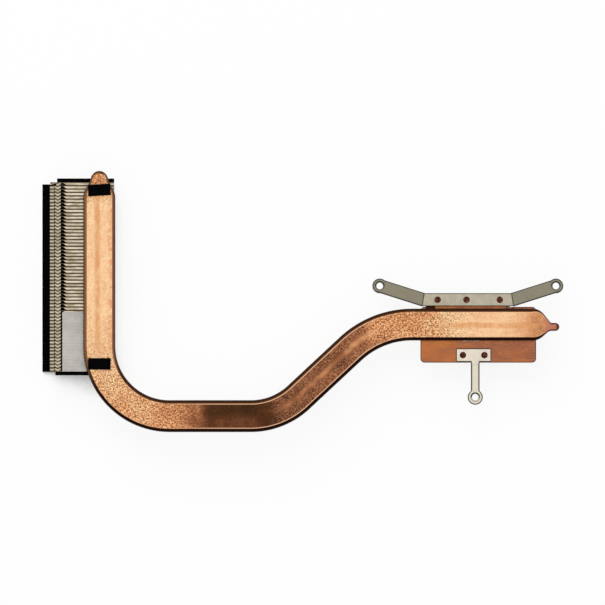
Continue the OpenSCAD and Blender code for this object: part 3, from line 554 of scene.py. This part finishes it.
def pipe_stations():
    """Places along the pipe: distance from the tip, x, y, heading, half width, half thickness."""
    low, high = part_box("heat_pipe")
    half_w, half_t = PIPE_W / 2, (high.z - low.z) / 2
    run_x = low.x + half_w
    plate_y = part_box("plate_solder")[1].y - FLAT_W / 2
    low_y = plate_y - LOW_RUN_DROP
    dome_y = high.y - DOME_TAPER_L
    slant_foot_x = SLANT_CORNER_X - LOW_RUN_DROP / math.tan(SLANT)
    low_trim, high_trim = LOW_BEND_R * math.tan(SLANT / 2), PLATE_BEND_R * math.tan(SLANT / 2)
    slant_l = LOW_RUN_DROP / math.sin(SLANT) - low_trim - high_trim
    stub_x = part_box("plate_solder")[1].x
    stub_l = high.x - stub_x
    found = []
    s = DOME_TAPER_L
    x, y, heading = run_x, high.y - DOME_TAPER_L, -math.pi / 2

    dome_steps = 14
    neck = 0.73 * DOME_TAPER_L
    dome_from = 0.62 * DOME_TAPER_L
    for i in range(dome_steps):
        up = DOME_TAPER_L * math.sin(math.pi / 2 * (dome_steps - i) / dome_steps)
        past = max(up - dome_from, 0) / (DOME_TAPER_L - dome_from)
        wide = (half_w - (half_w - DOME_NECK_R) * ease(up / neck)) * math.sqrt(max(1 - past ** 2, 0))
        thick = rounded_off(half_t, DOME_TAPER_L, up)
        found.append((DOME_TAPER_L - up, run_x, dome_y + up, heading, wide, thick))

    def straight(length):
        nonlocal s, x, y
        steps = max(int(length / RUN_STEP), 1)
        for _ in range(steps):
            found.append((s, x, y, heading, half_w, half_t))
            s += length / steps
            x += math.cos(heading) * length / steps
            y += math.sin(heading) * length / steps

    def bend(radius, turn):
        nonlocal s, x, y, heading
        side = 1 if turn > 0 else -1
        steps = int(abs(turn) * radius / RUN_STEP)
        cx, cy = x - side * radius * math.sin(heading), y + side * radius * math.cos(heading)
        for _ in range(steps):
            found.append((s, x, y, heading, half_w, half_t))
            heading += turn / steps
            s += abs(turn) * radius / steps
            x, y = cx + side * radius * math.sin(heading), cy - side * radius * math.cos(heading)

    straight(dome_y - low_y - LOW_BEND_R)
    bend(LOW_BEND_R, math.pi / 2)
    straight(slant_foot_x - low_trim - x)
    bend(LOW_BEND_R, SLANT)
    straight(slant_l)
    bend(PLATE_BEND_R, -SLANT)
    straight(stub_x - x)
    taper_steps = 16
    for i in range(taper_steps):
        share = i / taper_steps
        fall = share ** SHOULDER_POWER
        found.append((s + STUB_TAPER_L * share, stub_x + STUB_TAPER_L * share,
                      plate_y - STUB_SHIFT * share ** SHIFT_POWER, 0.0,
                      half_w - (half_w - STUB_R) * (fall + ease(fall)) / 2, half_t + (STUB_R - half_t) * ease(share)))
    for i in range(9):
        out = STUB_TAPER_L + (stub_l - STUB_TAPER_L) * math.sin(math.pi / 2 * i / 8)
        half = rounded_off(STUB_R, stub_l, out)
        found.append((s + out, stub_x + out, plate_y - STUB_SHIFT, 0.0, half, half))
    return found, (low.z + high.z) / 2, half_w, half_t


def flat_ring(bm, half_w, half_t):
    """The pipe's section in the YZ plane: a circle parted in the middle, its flats cut finely."""
    made = bmesh.ops.create_circle(bm, cap_ends=False, segments=4 * SIDE_POINTS, radius=half_t)["verts"]
    bmesh.ops.rotate(bm, verts=made, cent=(0, 0, 0), matrix=Matrix.Rotation(math.pi / 4 / SIDE_POINTS, 3, "Z"))
    bmesh.ops.scale(bm, verts=made, vec=(1, 1 / math.cos(math.pi / 4 / SIDE_POINTS), 1))
    for side in (1, -1):
        half = [v for v in made if v.co.x * side > 0]
        bmesh.ops.translate(bm, verts=half, vec=(side * (half_w - half_t), 0, 0))
    flats = [e for e in bm.edges if e.verts[0].co.x * e.verts[1].co.x < 0]
    bmesh.ops.subdivide_edges(bm, edges=flats, cuts=FLAT_CUTS)
    bmesh.ops.rotate(bm, verts=bm.verts, cent=(0, 0, 0), matrix=Matrix.Rotation(math.pi / 2, 3, "Z"))
    bmesh.ops.rotate(bm, verts=bm.verts, cent=(0, 0, 0), matrix=Matrix.Rotation(-math.pi / 2, 3, "Y"))


def settle_pipe(bm, along, across, half_w):
    """Sinks the flats a little along the middle, and pits the bends with orange peel."""
    bm.normal_update()
    moves = []
    for v in bm.verts:
        share = v[along] / RUN_TOTAL
        in_bend = max(1 - abs(share - 0.34) / 0.13, 1 - abs(share - 0.76) / 0.12, 0.12)
        peel = noise.fractal(v.co / (0.9 * MM), 1.0, 2.0, 3)
        trough = math.exp(-(v[across] / 0.42) ** 2) * abs(v.normal.z)
        ends = ease(min(share, 1 - share) / 0.05)
        depth = 0.09 * MM * trough * ends + 0.025 * MM * in_bend * max(peel + 0.3, 0)
        moves.append((v, v.normal * depth))
    for v, move in moves:
        v.co -= move


def make_pipe(finishes):
    stations, mid_z, half_w, half_t = pipe_stations()
    bm = bmesh.new()
    along = bm.verts.layers.float.new("along")
    across = bm.verts.layers.float.new("across")
    from_edge = bm.verts.layers.float.new("from_edge")
    flat_ring(bm, half_w, half_t)
    edges, verts = list(bm.edges), list(bm.verts)
    before = Matrix.Identity(4)
    first = None
    for index, (s, x, y, heading, wide, thick) in enumerate(stations):
        size = (max(wide / half_w, TIP_SCALE), max(thick / half_t, TIP_SCALE))
        there = (Matrix.Translation((x, y, mid_z)) @ Matrix.Rotation(heading, 4, "Z")
                 @ Matrix.Diagonal((1, size[0], size[1], 1)))
        if index:
            grown = bmesh.ops.extrude_edge_only(bm, edges=edges)["geom"]
            edges = [g for g in grown if isinstance(g, bmesh.types.BMEdge)]
            verts = [g for g in grown if isinstance(g, bmesh.types.BMVert)]
            edges = [e for e in edges if all(v in set(verts) for v in e.verts)]
        bmesh.ops.transform(bm, matrix=there @ before.inverted(), verts=verts)
        back = there.inverted()
        for v in verts:
            v[along] = s
            v[across] = (back @ v.co).y / half_w
            v[from_edge] = size[0] * half_w * (1 - abs(v[across]))
        before = there
        first = first or verts
    for tip in (first, verts):
        middle = sum((v.co for v in tip), Vector()) / len(tip)
        bmesh.ops.pointmerge(bm, verts=tip, merge_co=middle)
    bmesh.ops.recalc_face_normals(bm, faces=bm.faces)
    settle_pipe(bm, along, across, half_w)
    piece = new_piece("pressed_heat_pipe", bm, "pipe_copper", "heat_pipe")
    give(piece, finishes["pipe"])
    return piece


def soft_block(name, node, roll, wander, cuts, finish):
    """Die-cut foam in the room of a CAD node: edges rolled, faces and outline slightly uneven."""
    bm = merged_copy(node)
    for axis, count in enumerate(cuts):
        low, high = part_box(node)
        for i in range(1, count):
            at = Vector((0, 0, 0))
            at[axis] = low[axis] + (high[axis] - low[axis]) * i / count
            normal = Vector((0, 0, 0))
            normal[axis] = 1
            geom = bm.verts[:] + bm.edges[:] + bm.faces[:]
            bmesh.ops.bisect_plane(bm, geom=geom, plane_co=at, plane_no=normal)
    bmesh.ops.bevel(bm, geom=sharp_edges(bm), offset=roll, segments=3, profile=0.5, affect="EDGES",
                    clamp_overlap=True, material=-1)
    bm.normal_update()
    moves = [(v, v.normal * wander * max(noise.fractal(v.co / (2.2 * MM), 1.0, 2.0, 4) + 0.5, 0)) for v in bm.verts]
    for v, move in moves:
        v.co -= move
    piece = new_piece(name, bm, "black_foam", node)
    give(piece, finish)
    return piece


def make_label(finishes):
    """The label film, lying over the folded edges of the fins below it."""
    bm = merged_copy("fin_label")
    low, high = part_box("fin_label")
    step = FIN_PITCH / 6
    y = low.y + step / 2
    while y < high.y:
        geom = bm.verts[:] + bm.edges[:] + bm.faces[:]
        bmesh.ops.bisect_plane(bm, geom=geom, plane_co=(0, y, 0), plane_no=(0, 1, 0))
        y += step
    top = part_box("upper_end_fin")[1].y
    for v in bm.verts:
        if v.co.z > (low.z + high.z) / 2:
            turn = (top - v.co.y) / FIN_PITCH % 1.0
            v.co.z -= 0.05 * MM * math.exp(-((min(turn, 1 - turn)) / 0.16) ** 2)
    piece = weighted(new_piece("label_film_on_fins", bm, "label_paper", "fin_label"))
    give(piece, finishes["label"])
    return piece


def make_rivets(node, name, finishes):
    bm = merged_copy(node)
    bmesh.ops.subdivide_edges(bm, edges=sharp_edges(bm, math.radians(12)), cuts=1)
    bm.normal_update()
    moves = [(v, v.normal * 0.05 * MM * max(noise.noise(v.co / (0.5 * MM)) + 0.3, 0)) for v in bm.verts]
    for v, move in moves:
        v.co -= move
    piece = weighted(new_piece(name, bm, "rivet_copper", node))
    give(piece, finishes["rivet"])
    return piece


def dress_frame(finishes):
    """Finishes for the CAD nodes whose own shape shows."""
    worn = {"fins": "fin", "upper_end_fin": "fin", "lower_end_plate": "fin", "fin_solder": "solder",
            "plate_solder": "solder", "pipe_wick": "wick"}
    for node, finish in worn.items():
        give(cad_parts[node], finishes[finish])


def make_pieces(finishes):
    make_pipe(finishes)
    # The plate's sunk relief floor takes the dark rim finish: painted shade.
    edged("cold_plate", "brushed_cold_plate", "plate_copper", 0.28 * MM, finishes["plate"], finishes["plate_rim_shade"],
          (0.3 * MM, 0.5 * MM), RELIEF_FLOOR)
    edged("cpu_bracket", "sprung_long_bracket", "bracket_steel", 0.28 * MM, finishes["bracket"],
          finishes["steel_rim_shade"])
    edged("tee_bracket", "sprung_tee", "tee_steel", 0.28 * MM, finishes["tee"], finishes["steel_rim_shade"])
    make_rivets("cpu_bracket_rivets", "staked_rivets_long", finishes)
    make_rivets("tee_bracket_rivets", "staked_rivets_tee", finishes)
    soft_block("outlet_foam_strip", "outlet_foam", 0.12 * MM, 0.05 * MM, (4, 50, 1), finishes["foam"])
    soft_block("upper_end_foam_pad", "upper_end_foam", 0.12 * MM, 0.05 * MM, (16, 1, 5), finishes["foam"])
    soft_block("lower_end_foam_pad", "lower_end_foam", 0.12 * MM, 0.05 * MM, (16, 1, 5), finishes["foam"])
    soft_block("upper_pipe_tape", "upper_pipe_pad", 0.1 * MM, 0.05 * MM, (10, 5, 1), finishes["foam"])
    soft_block("lower_pipe_tape", "lower_pipe_pad", 0.1 * MM, 0.05 * MM, (10, 5, 1), finishes["foam"])
    make_label(finishes)


def shown_rays(tree):
    """1 for the rays that show the background: to the camera, mirrored in metal, or through glass."""
    path = add(tree, "ShaderNodeLightPath").outputs
    mirrored = calc(tree, "MAXIMUM", path["Is Glossy Ray"], path["Is Transmission Ray"])
    return calc(tree, "MAXIMUM", path["Is Camera Ray"], mirrored)


def beneath(tree, node):
    """1 where the floor lies beneath a CAD node's box."""
    low, high = (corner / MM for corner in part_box(node))
    places = add(tree, "ShaderNodeSeparateXYZ", {0: place_of(tree)}).outputs
    spans = [band(tree, places[i], (low[i] + high[i]) / 2, (high[i] - low[i]) / 2, 0.05) for i in (0, 1)]
    return calc(tree, "MULTIPLY", *spans)


def make_floor():
    """A white floor that keeps the part's shadow, painted dark straight beneath the fins, the upper end fin and the
    upper end foam: a painted shadow.
    """
    bm = bmesh.new()
    bmesh.ops.create_grid(bm, x_segments=1, y_segments=1, size=3.0)
    bmesh.ops.translate(bm, verts=bm.verts, vec=(PICTURE_CENTRE[0], PICTURE_CENTRE[1], CAD_BOX[0].z - 0.05 * MM))
    mesh = bpy.data.meshes.new("studio_floor")
    bm.to_mesh(mesh)
    bm.free()
    floor = bpy.data.objects.new("studio_floor", mesh)
    bpy.context.scene.collection.objects.link(floor)
    made = bpy.data.materials.new("white_floor")
    made.use_nodes = True
    tree = made.node_tree
    tree.nodes.clear()
    seen = shown_rays(tree)
    to_window = add(tree, "ShaderNodeCombineXYZ", {0: -0.12, 1: 0.6, 2: 0.79}).outputs[0]
    sky = add(tree, "ShaderNodeAmbientOcclusion", {"Distance": 12 * MM, "Normal": to_window}, samples=8).outputs["AO"]
    glow = calc(tree, "MULTIPLY", seen, remap(tree, sky, 0.25, 0.64, 0.0, 0.88))
    off_stack = 1.0
    # Beneath the fins, the upper end fin and the upper end foam the floor is painted dark and does not glow: a painted
    # shadow.
    for node in ("fins", "upper_end_fin", "upper_end_foam"):
        off_stack = calc(tree, "SUBTRACT", off_stack, beneath(tree, node), clamp=True)
    glow = calc(tree, "MULTIPLY", glow, off_stack)
    floor_paint_with_shadow = blend_colour(tree, off_stack, rgb(0.05, 0.045, 0.035), rgb(0.95, 0.95, 0.95))
    matt = add(tree, "ShaderNodeBsdfDiffuse", {"Color": floor_paint_with_shadow}).outputs[0]
    white = add(tree, "ShaderNodeEmission", {"Color": rgb(1, 1, 1), "Strength": 1.0}).outputs[0]
    mixed = add(tree, "ShaderNodeMixShader", {0: glow, 1: matt, 2: white}).outputs[0]
    add(tree, "ShaderNodeOutputMaterial", {"Surface": mixed})
    give(floor, made)


def make_lamp(name, place, aim, size, power, mirrored=True):
    data = bpy.data.lights.new(name, "AREA")
    data.shape = "SQUARE"
    data.size = size
    data.energy = power
    lamp = bpy.data.objects.new(name, data)
    lamp.visible_camera = False
    lamp.visible_glossy = mirrored
    lamp.location = place
    lamp.rotation_euler = (Vector(aim) - Vector(place)).to_track_quat("-Z", "Y").to_euler()
    bpy.context.scene.collection.objects.link(lamp)


def make_light():
    x, y = PICTURE_CENTRE
    make_lamp("overhead_softbox", (x, y + 0.35, 2.0), (x, y, 0), 2.6, 2.4)
    make_lamp("window", (x - 0.5, y + 1.5, 1.3), (x, y, 0), 1.5, 22, mirrored=False)
    world = bpy.data.worlds.new("studio")
    bpy.context.scene.world = world
    world.use_nodes = True
    tree = world.node_tree
    seen = shown_rays(tree)
    tree.links.new(remap(tree, seen, 0.0, 1.0, 0.66, 1.0), tree.nodes["Background"].inputs["Strength"])
    tree.nodes["Background"].inputs["Color"].default_value = rgb(1, 1, 1)


def make_camera():
    """Looks straight down with a long lens, the picture's top towards +Y."""
    data = bpy.data.cameras.new("camera")
    data.lens, data.sensor_width = LENS, SENSOR
    camera = bpy.data.objects.new("camera", data)
    reach = PICTURE_W * LENS / SENSOR
    camera.location = (*PICTURE_CENTRE, CAD_BOX[1].z + reach)
    bpy.context.scene.collection.objects.link(camera)
    bpy.context.scene.camera = camera


def main():
    bpy.context.scene.view_settings.view_transform = "Standard"
    finishes = all_finishes()
    dress_frame(finishes)
    make_pieces(finishes)
    make_floor()
    make_light()
    make_camera()


main()
